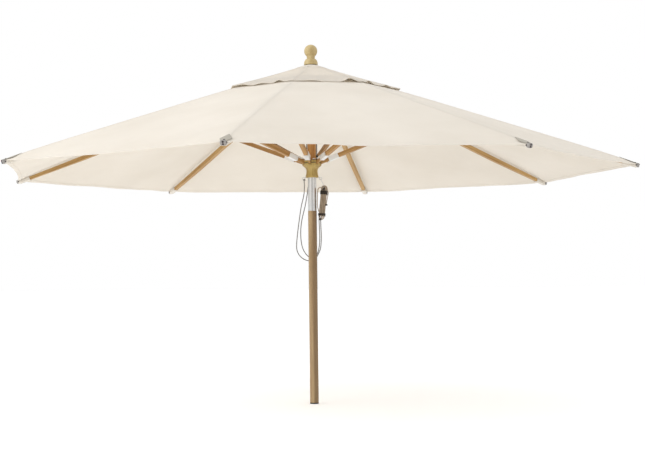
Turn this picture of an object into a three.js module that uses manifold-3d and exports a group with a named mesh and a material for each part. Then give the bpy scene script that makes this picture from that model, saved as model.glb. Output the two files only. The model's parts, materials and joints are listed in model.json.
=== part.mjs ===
// Wooden parasol with a rope hoist: a pole, a top hub with eight hinged ribs, a sliding runner with eight
// struts, a fabric canopy with a raised vent cap, and the hoist's sheave, rope and hank.
// Millimetres, +Z up. The origin is the centre of the pole's foot. Rib 1 points along +X, and each next rib
// is turned by a further 45 degrees about +Z. The parasol stands open.
import * as THREE from "three";
import { mergeVertices } from "three/addons/utils/BufferGeometryUtils.js";
import Module from "manifold-3d";

const wasm = await Module();
wasm.setup();

const { degToRad, radToDeg } = THREE.MathUtils;

// ---- Driving dimensions ----
const RIBS = 8;
const STEP = 360 / RIBS;
const GAP = 0.3;
const DRILL = 60; // a drilled hole's cutter, longer than any piece is wide

const RIM_RADIUS = 1750; // from the axis to a canopy corner
const RIM_Z = 1270; // height of the canopy's corners
const PITCH = 18.8; // fall of a canopy ridge, in degrees
const COVER = 15.5; // the ridge above a rib's centre line, square to the rib

const RING_RADIUS = 48; // both pivot rings
const RING_WIRE = 1.5;
const TONGUE = { thick: 9, radius: 9, hole: 2.5 }; // the root of a rib or strut, hung on a ring
const SLOT = { inner: 38, outer: 70, width: TONGUE.thick + 1.6 }; // in a crown, round a root
const RIB = { width: 22, depth: 24, shoulder: 26, short: 12, taper: 420, tip: 15 }; // thinner at its end
const STRUT = { width: 21, depth: 22, blade: 50, tip: 10, shoulder: 22 };
const LUG = { at: 717, drop: 24, thick: 4, radius: 10, foot: 13, pin: 3 }; // the strut's pivot under a rib
const SLEEVE = { from: 53, to: 110, wall: 1.8 };

const POLE_RADIUS = 24;
const POLE_TOP = 1860;
const BORE = POLE_RADIUS + 0.7; // of the hub and the runner
const END_CAP = { height: 7, spigot: 8, top: 34 };
const FERRULE = { bottom: 1060, top: 1262, wall: 3, seam: 1152 };
const ROPE_SLOT = { bottom: 1064, top: 1186, width: 5, angle: -36 }; // cut in the ferrule

const FINIAL = { z: 1870, base: 38.5, neck: 21.5, neckZ: 34, ball: 36.5, ballZ: 77, stud: 6, studLength: 44 };

const HOIST_ANGLE = 12; // the side of the pole that the hank hangs on, from +X
const SHEAVE = { z: 1778, radius: 29.5, groove: 23.5, width: 9, axle: 3 };
const ROPE_RADIUS = 2.5;
const ROPE_ON_SHEAVE = 27.5; // the rope's centre, from the sheave's centre
const EYE = { radius: 31, z: -76, down: 35, ring: 7, stem: 12, shank: 2 };
const HOOK = { radius: 33, angle: -57, half: 7, bar: 2, foot: 4, crown: 16 };
const HANK = { centre: [58.5, 0, 1104], length: 175, width: 34, thick: 34, lean: 6 };
const LINK = { half: 5, wire: 1, thick: 2, from: 2, to: 46 }; // the wire link that the hank hangs on

const CLOTH = 1; // thickness of every fabric solid
const CANOPY = { inner: 330, scallop: 25, sag: 14 };
const VENT = { inner: 20, flat: 30, outer: 500, top: 1867.2, edge: 1720, sag: 20 };
const CROWN = { inner: 7, outer: 90, above: 0.8, thick: 1.1 };

// ---- Derived places ----
const SLOPE = Math.tan(degToRad(PITCH));
const MIDDLE = Math.cos(degToRad(STEP / 2)); // a side's middle against its corners
const ridgeZ = (r) => RIM_Z + (RIM_RADIUS - r) * SLOPE;
const VENT_SLOPE = (VENT.top - VENT.edge) / (VENT.outer - VENT.flat);
const ventZ = (r) => VENT.top - Math.max(0, r - VENT.flat) * VENT_SLOPE;

const HUB_Z = ridgeZ(RING_RADIUS) - COVER / Math.cos(degToRad(PITCH));
const RIB_LENGTH = (RIM_RADIUS - RING_RADIUS) / Math.cos(degToRad(PITCH)) - RIB.short;
// The line from the hub's ring to the strut's pivot is as long as the strut, so the runner rises straight.
const STRUT_LENGTH = Math.hypot(LUG.at, LUG.drop);
const STRUT_PITCH = PITCH + radToDeg(Math.atan2(LUG.drop, LUG.at));
const RUNNER_Z = HUB_Z - 2 * STRUT_LENGTH * Math.sin(degToRad(STRUT_PITCH));

// ---- Looks ----
const look = (color, roughness, metalness = 0) => ({ color, roughness, metalness });
const WOOD = look(0xbb9463, 0.55);
const POLE_WOOD = look(0xa98862, 0.6);
const STEEL = look(0xc4c6c8, 0.35, 1);
const ALUMINIUM = look(0xd8dadb, 0.4, 1);
const FABRIC = look(0xe9e0d2, 0.95);
const CORD = look(0x8b857b, 0.9);
const RUBBER = look(0x2b2a28, 0.7);

const umbrella = new THREE.Group();

function add(name, geometry, finish, parent = umbrella) {
  const mesh = new THREE.Mesh(geometry, new THREE.MeshStandardMaterial(finish));
  mesh.name = name;
  parent.add(mesh);
  return mesh;
}

// ---- Booleans ----
function solid(geometry) {
  const bare = geometry.clone();
  bare.deleteAttribute("normal");
  bare.deleteAttribute("uv");
  const merged = mergeVertices(bare, 1e-4);
  const vertProperties = new Float32Array(merged.attributes.position.array);
  const triVerts = new Uint32Array(merged.index.array);
  return new wasm.Manifold(new wasm.Mesh({ numProp: 3, vertProperties, triVerts }));
}

function geometryOf(manifold) {
  const mesh = manifold.getMesh();
  const geometry = new THREE.BufferGeometry();
  geometry.setAttribute("position", new THREE.BufferAttribute(mesh.vertProperties, 3));
  geometry.setIndex(new THREE.BufferAttribute(mesh.triVerts, 1));
  return geometry;
}

function join(...geometries) {
  return geometries.map(solid).reduce((all, next) => all.add(next));
}

// ---- Shapes ----
// A body turned about +Z from a list of [radius, z], with a corner on +X.
function turned(outline, sides) {
  const points = outline.map(([r, z]) => new THREE.Vector2(r, z));
  return new THREE.LatheGeometry(points, sides).rotateX(Math.PI / 2).rotateZ(Math.PI / 2);
}

function box([x0, x1], [y0, y1], [z0, z1]) {
  const geometry = new THREE.BoxGeometry(x1 - x0, y1 - y0, z1 - z0);
  return geometry.translate((x0 + x1) / 2, (y0 + y1) / 2, (z0 + z1) / 2);
}

// A round pin along Y through (x, z).
function pin(radius, length, x, z, sides = 10) {
  return new THREE.CylinderGeometry(radius, radius, length, sides).translate(x, 0, z);
}

// A ring of round wire about +Z.
function wireRing(radius, wire, sides, wireSides = 5) {
  const section = arc(radius, 0, wire, 0, 360, wireSides);
  return turned(section, sides);
}

// Points on an arc about (x, z), between two angles in degrees.
function arc(x, z, radius, from, to, steps) {
  const points = [];
  for (let i = 0; i <= steps; i++) {
    const a = degToRad(from + ((to - from) * i) / steps);
    points.push([x + radius * Math.cos(a), z + radius * Math.sin(a)]);
  }
  return points;
}

// A slot's outline: two round ends about (0, z0) and (0, z1).
function stadium(radius, z0, z1, steps) {
  return [...arc(0, z1, radius, 0, 180, steps), ...arc(0, z0, radius, 180, 360, steps)];
}

// A plate with an outline in the XZ plane, its thickness centred on y = 0.
function plate(outline, thick, hole) {
  const points = (list) => list.map(([x, z]) => new THREE.Vector2(x, z));
  const shape = new THREE.Shape(points(outline));
  if (hole) shape.holes.push(new THREE.Path(points(hole)));
  const geometry = new THREE.ExtrudeGeometry(shape, { depth: thick, bevelEnabled: false });
  return geometry.rotateX(Math.PI / 2).translate(0, thick / 2, 0);
}

// A round rope along a smooth line through the points.
function rope(points, steps, sides = 8) {
  const line = points.map(([x, y, z]) => new THREE.Vector3(x, y, z));
  const extrudePath = new THREE.CatmullRomCurve3(line, false, "centripetal");
  const section = arc(0, 0, ROPE_RADIUS, 0, 360, sides).slice(0, sides);
  const shape = new THREE.Shape(section.map(([x, y]) => new THREE.Vector2(x, y)));
  return new THREE.ExtrudeGeometry(shape, { steps, extrudePath, bevelEnabled: false });
}

// A sheet of cloth with its upper face through pointAt(row, column), CLOTH thick downwards.
function sheet(rows, columns, pointAt) {
  const width = columns + 1;
  const layer = (rows + 1) * width;
  const positions = [];
  for (const drop of [0, CLOTH]) {
    for (let i = 0; i <= rows; i++) {
      for (let j = 0; j <= columns; j++) {
        const [x, y, z] = pointAt(i, j);
        positions.push(x, y, z - drop);
      }
    }
  }
  const index = [];
  const quad = (a, b, c, d) => index.push(a, b, c, a, c, d);
  for (let i = 0; i < rows; i++) {
    for (let j = 0; j < columns; j++) {
      const a = i * width + j;
      quad(a, a + width, a + width + 1, a + 1);
      quad(a + layer, a + layer + 1, a + layer + width + 1, a + layer + width);
    }
  }
  const wall = (a, b) => quad(a, b, b + layer, a + layer);
  for (let i = 0; i < rows; i++) {
    wall((i + 1) * width, i * width);
    wall(i * width + columns, (i + 1) * width + columns);
  }
  for (let j = 0; j < columns; j++) {
    wall(j, j + 1);
    wall(rows * width + j + 1, rows * width + j);
  }
  const geometry = new THREE.BufferGeometry();
  geometry.setAttribute("position", new THREE.BufferAttribute(new Float32Array(positions), 3));
  geometry.setIndex(index);
  return geometry;
}

// ---- Pole ----
function addPole() {
  const { height, spigot, top } = END_CAP;
  const neck = POLE_RADIUS - FERRULE.wall - GAP;
  const hole = spigot + 0.4;

  add(
    "pole_end_cap",
    turned([[0, 0], [POLE_RADIUS - 1, 0], [POLE_RADIUS, 1], [POLE_RADIUS, height], [spigot, height],
      [spigot, top], [0, top]], 32),
    RUBBER,
  );

  add(
    "pole_lower",
    turned([[0, top + 4], [hole, top + 4], [hole, height + GAP], [POLE_RADIUS, height + GAP],
      [POLE_RADIUS, FERRULE.bottom - GAP], [neck, FERRULE.bottom - GAP], [neck, FERRULE.seam - GAP],
      [0, FERRULE.seam - GAP]], 32),
    POLE_WOOD,
  );

  const inner = POLE_RADIUS - FERRULE.wall;
  const tube = turned([[inner, FERRULE.bottom], [POLE_RADIUS, FERRULE.bottom], [POLE_RADIUS, FERRULE.top],
    [inner, FERRULE.top], [inner, FERRULE.bottom]], 32);
  const half = ROPE_SLOT.width / 2;
  const slot = box([inner - 9, POLE_RADIUS + 6], [-half, half], [ROPE_SLOT.bottom, ROPE_SLOT.top])
    .rotateZ(degToRad(ROPE_SLOT.angle));
  add("pole_ferrule", geometryOf(solid(tube).subtract(solid(slot))), ALUMINIUM);

  const stud = FINIAL.stud + 0.4;
  const studEnd = FINIAL.z - FINIAL.studLength - 2;
  const stock = turned([[0, FERRULE.seam], [neck, FERRULE.seam], [neck, FERRULE.top + GAP],
    [POLE_RADIUS, FERRULE.top + GAP], [POLE_RADIUS, POLE_TOP], [stud, POLE_TOP], [stud, studEnd],
    [0, studEnd]], 32);
  const cheek = SHEAVE.width / 2 + 1;
  const reach = SHEAVE.radius + 3.5;
  const mortise = box([-reach, reach], [-cheek, cheek], [SHEAVE.z - reach, SHEAVE.z + reach]);
  const cut = solid(mortise).add(solid(pin(SHEAVE.axle + GAP, DRILL, 0, SHEAVE.z)));
  const turn = new THREE.Matrix4().makeRotationZ(degToRad(HOIST_ANGLE));
  add("pole_upper", geometryOf(solid(stock).subtract(cut.transform(turn.elements))), POLE_WOOD);
}

// ---- Hub, finial and crown patch ----
// Eight radial slots, one for each rib or strut.
function slots([z0, z1]) {
  const half = SLOT.width / 2;
  const cuts = [];
  for (let i = 0; i < RIBS; i++) {
    cuts.push(box([SLOT.inner, SLOT.outer], [-half, half], [z0, z1]).rotateZ(degToRad(i * STEP)));
  }
  return join(...cuts);
}

// The stretch of a crown's outline that holds the pivot ring in a groove, from bottom to top.
function grooved(rim) {
  const groove = RING_WIRE + 0.8;
  const floor = RING_RADIUS - 2.5;
  return [[rim, -groove], [floor, -groove], [floor, groove], [rim, groove]];
}

function addHub() {
  const rim = RING_RADIUS + 5;
  const crown = turned([[BORE, -13], [44, -13], [rim, -9], ...grooved(rim), [rim, 7], [50, 9], [BORE, 9],
    [BORE, -13]], 32);
  add("top_hub", geometryOf(solid(crown).subtract(slots([-20, 20]))), WOOD).position.z = HUB_Z;
  add("hub_pivot_ring", wireRing(RING_RADIUS, RING_WIRE, 24), STEEL).position.z = HUB_Z;
}

function addFinial() {
  const { base, neck, neckZ, ball, ballZ, stud, studLength } = FINIAL;
  const flare = arc(0, 0, 1, 0, 90, 5).map(([c, s]) => [neck + (base - neck) * c, 3 + (neckZ - 3) * s]);
  const low = radToDeg(Math.acos(neck / ball));
  const globe = arc(0, ballZ, ball, -low, 80, 9);
  const outline = [[0, -studLength], [stud, -studLength], [stud, 0], [base, 0], ...flare, ...globe,
    [0, ballZ + ball]];
  add("finial", turned(outline, 20), WOOD).position.z = FINIAL.z;

  const under = (r) => [r, ventZ(r) + CROWN.above];
  const over = (r) => [r, ventZ(r) + CROWN.above + CROWN.thick];
  const { inner, outer } = CROWN;
  const patch = [under(inner), under(VENT.flat), under(outer), over(outer), over(VENT.flat), over(inner),
    under(inner)];
  add("crown_patch", turned(patch, RIBS), FABRIC);
}

// ---- Runner with its eyes and hook ----
function addRunner() {
  const rim = RING_RADIUS + 5;
  const bottom = -82;
  const stock = turned([[BORE, bottom], [34.5, bottom], [35.5, -80], [35.5, -74], [33, -64], [31, -50],
    [32, -38], [38, -27], [50, -18], [rim, -15], ...grooved(rim), [rim, 10], [50, 13], [BORE, 13],
    [BORE, bottom]], 32);
  let body = solid(stock).subtract(slots([-11, 30]));

  // A screw eye on each side of the lower rim points outwards and down.
  const shank = (radius, from, to) =>
    new THREE.CylinderGeometry(radius, radius, to - from, 10).rotateZ(Math.PI / 2)
      .translate((from + to) / 2, 0, 0);
  for (const [name, turn] of [["rope_eye_right", 0], ["rope_eye_left", 180]]) {
    const place = (geometry) => geometry.rotateY(degToRad(EYE.down)).translate(EYE.radius, 0, EYE.z)
      .rotateZ(degToRad(HOIST_ANGLE + turn));
    const loop = wireRing(EYE.ring, RING_WIRE, 16).rotateX(Math.PI / 2).translate(EYE.stem + EYE.ring, 0, 0);
    const eye = join(place(shank(EYE.shank, 0, EYE.stem + 1)), place(loop));
    body = body.subtract(solid(place(shank(EYE.shank + 0.4, -1, EYE.stem))));
    add(name, geometryOf(eye), STEEL).position.z = RUNNER_Z;
  }

  // A square-section hook stands with both feet in the runner's top.
  const { half, bar, foot, crown } = HOOK;
  const outside = half + bar;
  const inside = half - bar;
  const bow = [[outside, foot], ...arc(0, crown, outside, 0, 180, 8), [-outside, foot], [-inside, foot],
    ...arc(0, crown, inside, 180, 0, 8), [inside, foot]];
  const stand = (geometry) => geometry.translate(HOOK.radius, 0, 0).rotateZ(degToRad(HOOK.angle));
  add("runner_hook", stand(plate(bow, 2 * bar).rotateZ(Math.PI / 2)), STEEL).position.z = RUNNER_Z;
  const side = bar + GAP;
  for (const y of [-half, half]) {
    const socket = box([-side, side], [y - side, y + side], [foot - GAP, 20]);
    body = body.subtract(solid(stand(socket)));
  }

  add("runner", geometryOf(body), WOOD).position.z = RUNNER_Z;
  add("runner_pivot_ring", wireRing(RING_RADIUS, RING_WIRE, 24), STEEL).position.z = RUNNER_Z;
}

// ---- Ribs and struts ----
// The round root that hangs on a pivot ring, out to a little past the shoulder.
function tongue(thick, radius, shoulder) {
  return plate([...arc(0, 0, radius, 90, 270, 6), [shoulder + 2, -radius], [shoulder + 2, radius]], thick);
}

function ribGeometry() {
  const { width, depth, shoulder, taper, tip } = RIB;
  const top = depth / 2;
  const root = tongue(TONGUE.thick, TONGUE.radius, shoulder);
  const stick = plate([[shoulder, -top], [RIB_LENGTH - taper, -top], [RIB_LENGTH, top - tip],
    [RIB_LENGTH, top], [shoulder, top]], width);
  const lug = [...arc(LUG.at, -LUG.drop, LUG.radius, 180, 360, 6), [LUG.at + LUG.foot, 2 - top],
    [LUG.at - LUG.foot, 2 - top]];
  const inside = STRUT.tip / 2 + 0.6;
  const cheeks = [-1, 1].map((s) => plate(lug, LUG.thick).translate(0, s * (inside + LUG.thick / 2), 0));
  const bolt = pin(LUG.pin, 2 * inside + 2, LUG.at, -LUG.drop);
  const hole = solid(pin(TONGUE.hole, DRILL, 0, 0));
  return geometryOf(join(root, stick, ...cheeks, bolt).subtract(hole));
}

function strutGeometry() {
  const { width, depth, blade, tip, shoulder } = STRUT;
  const root = tongue(TONGUE.thick, TONGUE.radius, blade);
  const stick = box([blade, STRUT_LENGTH - shoulder], [-width / 2, width / 2], [-depth / 2, depth / 2]);
  const end = tongue(tip, TONGUE.radius + 0.5, shoulder).rotateZ(Math.PI).translate(STRUT_LENGTH, 0, 0);
  const holes = join(pin(TONGUE.hole, DRILL, 0, 0), pin(LUG.pin + 0.4, DRILL, STRUT_LENGTH, 0));
  return geometryOf(join(root, stick, end).subtract(holes));
}

function sleeveGeometry() {
  const y = STRUT.width / 2 + GAP;
  const z = STRUT.depth / 2 + GAP;
  const { from, to, wall } = SLEEVE;
  const outer = box([from, to], [-y - wall, y + wall], [-z - wall, z + wall]);
  const inner = box([from - 5, to + 5], [-y, y], [-z, z]);
  return geometryOf(solid(outer).subtract(solid(inner)));
}

// ---- Canopy ----
// A point on a sector of an eight-sided tent, centred on a rib. spot is -1 or 1 at a side's middle and 0 on
// the ridge, and share grows to 1 at the hem. Between ridges the cloth is cut in and sags.
function tentPoint(radius, z, share, spot, scallop, sag) {
  const half = degToRad(STEP / 2);
  const away = Math.abs(spot);
  const bow = 1 - (1 - away) ** 2;
  const inward = scallop * share * bow;
  const along = radius * MIDDLE * away - inward;
  const seam = away === 1 ? GAP / 2 : 0;
  const x = radius * (1 - away) + along * Math.cos(half) + seam * Math.sin(half);
  const y = along * Math.sin(half) - seam * Math.cos(half);
  return [x, Math.sign(spot) * y, z + (inward * SLOPE) / MIDDLE - sag * share ** 2 * bow];
}

function goreGeometry() {
  const rows = 4;
  const columns = 6;
  const { inner, scallop, sag } = CANOPY;
  return sheet(rows, columns, (i, j) => {
    const share = i / rows;
    const radius = inner + (RIM_RADIUS - inner) * share;
    return tentPoint(radius, ridgeZ(radius), share, (2 * j) / columns - 1, scallop, sag);
  });
}

function ventGeometry() {
  const stations = [VENT.inner, VENT.flat, 0.36 * VENT.outer, 0.68 * VENT.outer, VENT.outer];
  const columns = 4;
  return sheet(stations.length - 1, columns, (i, j) => {
    const radius = stations[i];
    const share = (radius - VENT.inner) / (VENT.outer - VENT.inner);
    return tentPoint(radius, ventZ(radius), share, (2 * j) / columns - 1, 0, VENT.sag);
  });
}

function addArms() {
  const rib = ribGeometry();
  const strut = strutGeometry();
  const sleeve = sleeveGeometry();
  const gore = goreGeometry();
  const vent = ventGeometry();
  for (let n = 1; n <= RIBS; n++) {
    const side = new THREE.Group();
    side.rotation.z = degToRad((n - 1) * STEP);
    umbrella.add(side);

    const ribFrame = new THREE.Group();
    ribFrame.position.set(RING_RADIUS, 0, HUB_Z);
    ribFrame.rotation.y = degToRad(PITCH);
    side.add(ribFrame);
    add(`rib_${n}`, rib.clone(), WOOD, ribFrame);

    const strutFrame = new THREE.Group();
    strutFrame.position.set(RING_RADIUS, 0, RUNNER_Z);
    strutFrame.rotation.y = -degToRad(STRUT_PITCH);
    side.add(strutFrame);
    add(`strut_${n}`, strut.clone(), WOOD, strutFrame);
    add(`strut_sleeve_${n}`, sleeve.clone(), STEEL, strutFrame);

    add(`canopy_gore_${n}`, gore.clone(), FABRIC, side);
    add(`vent_cap_${n}`, vent.clone(), FABRIC, side);
  }
}

// ---- Hoist ----
// Routes are in the hoist's own frame: x towards the hank's side, y away from the front, z up.
const OUTER_LOOP = [
  [-44, 0, 1228], [-43, 2, 1195], [-45, 4, 1158], [-52, 6, 1124], [-60, 8, 1092], [-67, 10, 1052],
  [-73, 12, 1012], [-79, 14, 970], [-84, 15, 931], [-88, 16, 893], [-89.5, 18, 862], [-87, 20, 842],
  [-80, 23, 824], [-66, 27, 806], [-48, 31, 793], [-24, 36, 785], [0, 38, 787], [18, 36, 801],
  [32, 29, 825], [43, 20, 855], [47, 13, 895], [47.5, 9, 935], [46, 6, 972], [45, 4, 1014],
];
const INNER_LOOP = [
  [-20, 22, 1242], [-21, 21, 1215], [-24, 18, 1185], [-27, 15, 1160], [-33, 13, 1125], [-39, 12, 1092],
  [-47, 12, 1060], [-54, 13, 1032], [-60, 14, 1004], [-64, 15, 975], [-66, 16, 942], [-65, 17, 905],
  [-61, 19, 875], [-54, 22, 850], [-41, 26, 826], [-24, 29, 808], [-6, 31, 801], [9, 30, 805],
  [22, 26, 818], [31, 20, 840], [37, 12, 875], [39, 4, 915], [38, -2, 960], [36, -4, 1012],
];

function liftRoute() {
  const low = RUNNER_Z + 15;
  const over = arc(0, SHEAVE.z, ROPE_ON_SHEAVE, 0, 180, 8).map(([x, z]) => [x, 0, z]);
  const straight = [0, 0.25, 0.5, 0.75].map((t) => low + (SHEAVE.z - low) * t);
  const up = straight.map((z) => [ROPE_ON_SHEAVE, 0, z]);
  const down = straight.reverse().map((z) => [-ROPE_ON_SHEAVE, 0, z]);
  return [...up, ...over, ...down];
}

function addHoist() {
  const hoist = new THREE.Group();
  hoist.rotation.z = degToRad(HOIST_ANGLE);
  umbrella.add(hoist);

  const { radius, groove, width, axle } = SHEAVE;
  const bore = axle + 0.4;
  const flank = width / 2;
  const wheel = turned([[bore, -flank], [radius, -flank], [radius, -flank + 1.2], [groove, -flank + 1.7],
    [groove, flank - 1.7], [radius, flank - 1.2], [radius, flank], [bore, flank], [bore, -flank]], 20);
  add("pulley_sheave", wheel.rotateX(Math.PI / 2), STEEL, hoist).position.z = SHEAVE.z;
  add("pulley_axle", pin(axle, 2 * POLE_RADIUS - 4, 0, SHEAVE.z), STEEL, hoist);

  add("lift_rope", rope(liftRoute(), 64), CORD, hoist);
  add("rope_loop_outer", rope(OUTER_LOOP, 64), CORD, hoist);
  add("rope_loop_inner", rope(INNER_LOOP, 64), CORD, hoist);

  const end = (HANK.length - HANK.width) / 2;
  const hank = add("rope_hank", plate(stadium(HANK.width / 2, -end, end, 8), HANK.thick), CORD, hoist);
  hank.position.set(...HANK.centre);
  hank.rotation.y = degToRad(HANK.lean);

  // The link runs from the right eye's hole towards the hank's top, square to the eye.
  const down = degToRad(EYE.down);
  const reach = EYE.stem + EYE.ring;
  const eye = new THREE.Vector3(reach * Math.cos(down), 0, -reach * Math.sin(down));
  eye.add(new THREE.Vector3(EYE.radius, 0, RUNNER_Z + EYE.z));
  const lean = degToRad(HANK.lean);
  const top = new THREE.Vector3(Math.sin(lean), 0, Math.cos(lean)).multiplyScalar(HANK.length / 2);
  top.add(new THREE.Vector3(...HANK.centre));
  const direction = top.sub(eye).normalize();
  const ends = [-LINK.to + LINK.half, -LINK.from - LINK.half];
  const outline = stadium(LINK.half + LINK.wire, ...ends, 6);
  const window = stadium(LINK.half - LINK.wire, ...ends, 6);
  const link = add("hank_ring", plate(outline, LINK.thick, window).rotateZ(Math.PI / 2), STEEL, hoist);
  link.position.copy(eye);
  link.rotation.y = Math.atan2(direction.x, direction.z) + Math.PI;
}

addPole();
addHub();
addFinial();
addRunner();
addArms();
addHoist();

export default umbrella;
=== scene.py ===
# Wooden parasol with a rope hoist: the looks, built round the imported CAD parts. Metres, +Z up.
import json
import math

import bpy
import numpy as np
from mathutils import Matrix, Vector, noise


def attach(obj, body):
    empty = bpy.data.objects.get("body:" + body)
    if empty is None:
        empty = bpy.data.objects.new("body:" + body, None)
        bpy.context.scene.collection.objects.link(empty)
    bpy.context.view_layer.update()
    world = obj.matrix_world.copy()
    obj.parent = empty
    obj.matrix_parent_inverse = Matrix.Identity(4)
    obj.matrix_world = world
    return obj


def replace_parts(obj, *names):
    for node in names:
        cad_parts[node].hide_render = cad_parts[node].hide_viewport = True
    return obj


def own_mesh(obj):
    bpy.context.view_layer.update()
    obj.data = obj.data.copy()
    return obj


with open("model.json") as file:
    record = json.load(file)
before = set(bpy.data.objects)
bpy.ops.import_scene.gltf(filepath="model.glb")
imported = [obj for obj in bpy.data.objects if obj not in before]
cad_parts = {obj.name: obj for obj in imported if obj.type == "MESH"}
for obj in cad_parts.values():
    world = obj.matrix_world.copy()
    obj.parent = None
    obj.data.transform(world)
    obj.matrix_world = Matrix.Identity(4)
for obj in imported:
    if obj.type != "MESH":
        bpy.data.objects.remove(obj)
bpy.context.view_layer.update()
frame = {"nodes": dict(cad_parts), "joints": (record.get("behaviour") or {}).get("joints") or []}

# ---- Driving dimensions, the same as the CAD's ----
RIBS = 8
STEP = math.tau / RIBS
MIDDLE = math.cos(STEP / 2)  # a side's middle against its corners
JOINTS = {joint["name"]: joint for joint in frame["joints"]}
HUB = Vector(JOINTS["rib_1_fold"]["pos_m"])  # rib 1's pivot
RUNNER = Vector(JOINTS["runner_travel"]["pos_m"])  # strut 1's pivot on the runner
LUG = Vector(JOINTS["strut_1_fold"]["pos_m"])  # strut 1's pivot under rib 1
STRUT_PITCH = math.atan2(LUG.z - RUNNER.z, LUG.x - RUNNER.x)
PITCH = math.radians(18.8)
SLOPE = math.tan(PITCH)
RIM = 1.750  # from the axis to a canopy corner
RIM_Z = 1.270
COVER = 0.0155  # the ridge above a rib's centre line
RIB_END = (RIM - HUB.x) / math.cos(PITCH)  # the canopy's corner, along a rib
RIB = {"width": 0.022, "depth": 0.024, "tip": 0.015, "taper": 0.420, "short": 0.012}  # thinner at its end
FALL = SLOPE * (1 - math.cos(STEP)) / math.sin(STEP) * math.cos(PITCH)  # of a panel, square to its rib
HOIST = Matrix.Rotation(math.radians(12), 4, "Z")  # the side that the hank hangs on
ROPE_RADIUS = 0.0025

CANOPY = {"inner": 0.330, "outer": RIM, "scallop": 0.025, "sag": 0.014, "arch": 0.010}
VENT = {"inner": 0.060, "outer": 0.500, "flat": 0.030, "top": 1.8672, "edge": 1.722, "sag": 0.013,
        "dip": 0.005}
CROWN = {"inner": 0.007, "outer": 0.090, "above": 0.0008}
CLOTH = 0.001

# ---- Dimensions that only the looks have ----
POLE_SHADE_SIDE = -25  # the azimuth, in degrees, of the pole's side that is darkened as painted shade
SHADE_FADE = (0.008, 0.019)  # how far from the pole's axis the painted shade begins, and is darkest
HEM = 0.020
HEM_CLOTH = 2.4 * CLOTH  # folded over
BAND = 0.0135  # half the width of the binding on a ridge
BAND_CLOTH = 1.8 * CLOTH
BAND_RISE = 0.0005  # the binding's upper face over the panels'
LAP = 0.0015  # how far the panels reach under the binding


# ---- Camera ----
def make_camera(place, yaw, pitch, roll, lens):
    data = bpy.data.cameras.new("camera")
    data.lens = lens
    camera = bpy.data.objects.new("camera", data)
    turn = (Matrix.Rotation(math.radians(yaw), 4, "Z") @ Matrix.Rotation(math.radians(90 + pitch), 4, "X")
            @ Matrix.Rotation(math.radians(-roll), 4, "Z"))
    camera.matrix_world = Matrix.Translation(place) @ turn
    bpy.context.collection.objects.link(camera)
    bpy.context.scene.camera = camera


make_camera((1.4344, -6.6795, 0.7304), yaw=11.66, pitch=2.08, roll=0.62, lens=69.1)


# ---- Shader nodes ----
def colour(red, green, blue):
    """A colour written as it looks on screen, 0 to 255, in linear light."""
    channels = [c / 255 for c in (red, green, blue)]
    return [c / 12.92 if c <= 0.04045 else ((c + 0.055) / 1.055) ** 2.4 for c in channels] + [1.0]


def shaded(tone, share):
    """A colour darkened to a share of itself."""
    return [c * share for c in tone[:3]] + [1.0]


MIX_INPUTS = (0, 6, 7)  # a Mix node's sockets for colours: the share, the first and the second
MIX_OUTPUT = 2


class Look:
    """One material and its nodes."""

    def __init__(self, name, **surface):
        self.material = bpy.data.materials.new(name)
        self.material.use_nodes = True
        self.nodes = self.material.node_tree.nodes
        self.shader = self.nodes["Principled BSDF"]
        self.coords = self.nodes.new("ShaderNodeTexCoord")
        self.set(self.shader, {key.replace("_", " "): value for key, value in surface.items()})

    def put(self, socket, value):
        """Link a socket to another one, or give it a plain value."""
        if isinstance(value, bpy.types.NodeSocket):
            self.material.node_tree.links.new(value, socket)
        else:
            socket.default_value = value

    def set(self, node, inputs):
        for key, value in inputs.items():
            self.put(node.inputs[key], value)

    def add(self, kind, inputs, output=0, **settings):
        node = self.nodes.new("ShaderNode" + kind)
        for key, value in settings.items():
            setattr(node, key, value)
        self.set(node, inputs)
        return node.outputs[output]

    def noise(self, vector, scale, detail=4.0, roughness=0.5, distortion=0.0):
        return self.add("TexNoise", {"Vector": vector, "Scale": scale, "Detail": detail,
                                     "Roughness": roughness, "Distortion": distortion})

    def stretched(self, vector, scale):
        return self.add("Mapping", {"Vector": vector, "Scale": scale})

    def ramp(self, value, stops):
        node = self.nodes.new("ShaderNodeValToRGB")
        while len(node.color_ramp.elements) < len(stops):
            node.color_ramp.elements.new(0.5)
        for element, (position, shade) in zip(node.color_ramp.elements, stops):
            element.position = position
            element.color = shade
        self.set(node, {"Fac": value})
        return node.outputs[0]

    def grey(self, value, low, high, start=0.3, end=0.7):
        return self.add("MapRange", {"Value": value, "From Min": start, "From Max": end,
                                     "To Min": low, "To Max": high})

    def mix(self, share, first, second, blend="MIX"):
        node = self.nodes.new("ShaderNodeMix")
        node.data_type = "RGBA"
        node.blend_type = blend
        for index, value in zip(MIX_INPUTS, (share, first, second)):
            self.put(node.inputs[index], value)
        return node.outputs[MIX_OUTPUT]

    def math(self, operation, first, second=0.0):
        node = self.nodes.new("ShaderNodeMath")
        node.operation = operation
        for index, value in enumerate((first, second)):
            self.put(node.inputs[index], value)
        return node.outputs[0]

    def stitches(self, beside, along, row, pitch=0.0045, width=0.0007):
        """1 on a row of stitches where the value beside equals row, and 0 elsewhere."""
        near = self.math("LESS_THAN", self.math("ABSOLUTE", self.math("SUBTRACT", beside, row)), width)
        dash = self.math("LESS_THAN", self.math("FRACT", self.math("DIVIDE", along, pitch)), 0.7)
        return self.math("MULTIPLY", near, dash)

    def bump(self, *heights):
        """Each height is (socket, distance in metres, strength)."""
        normal = None
        for height, distance, strength in heights:
            inputs = {"Height": height, "Distance": distance, "Strength": strength}
            if normal is not None:
                inputs["Normal"] = normal
            normal = self.add("Bump", inputs)
        self.set(self.shader, {"Normal": normal})


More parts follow.
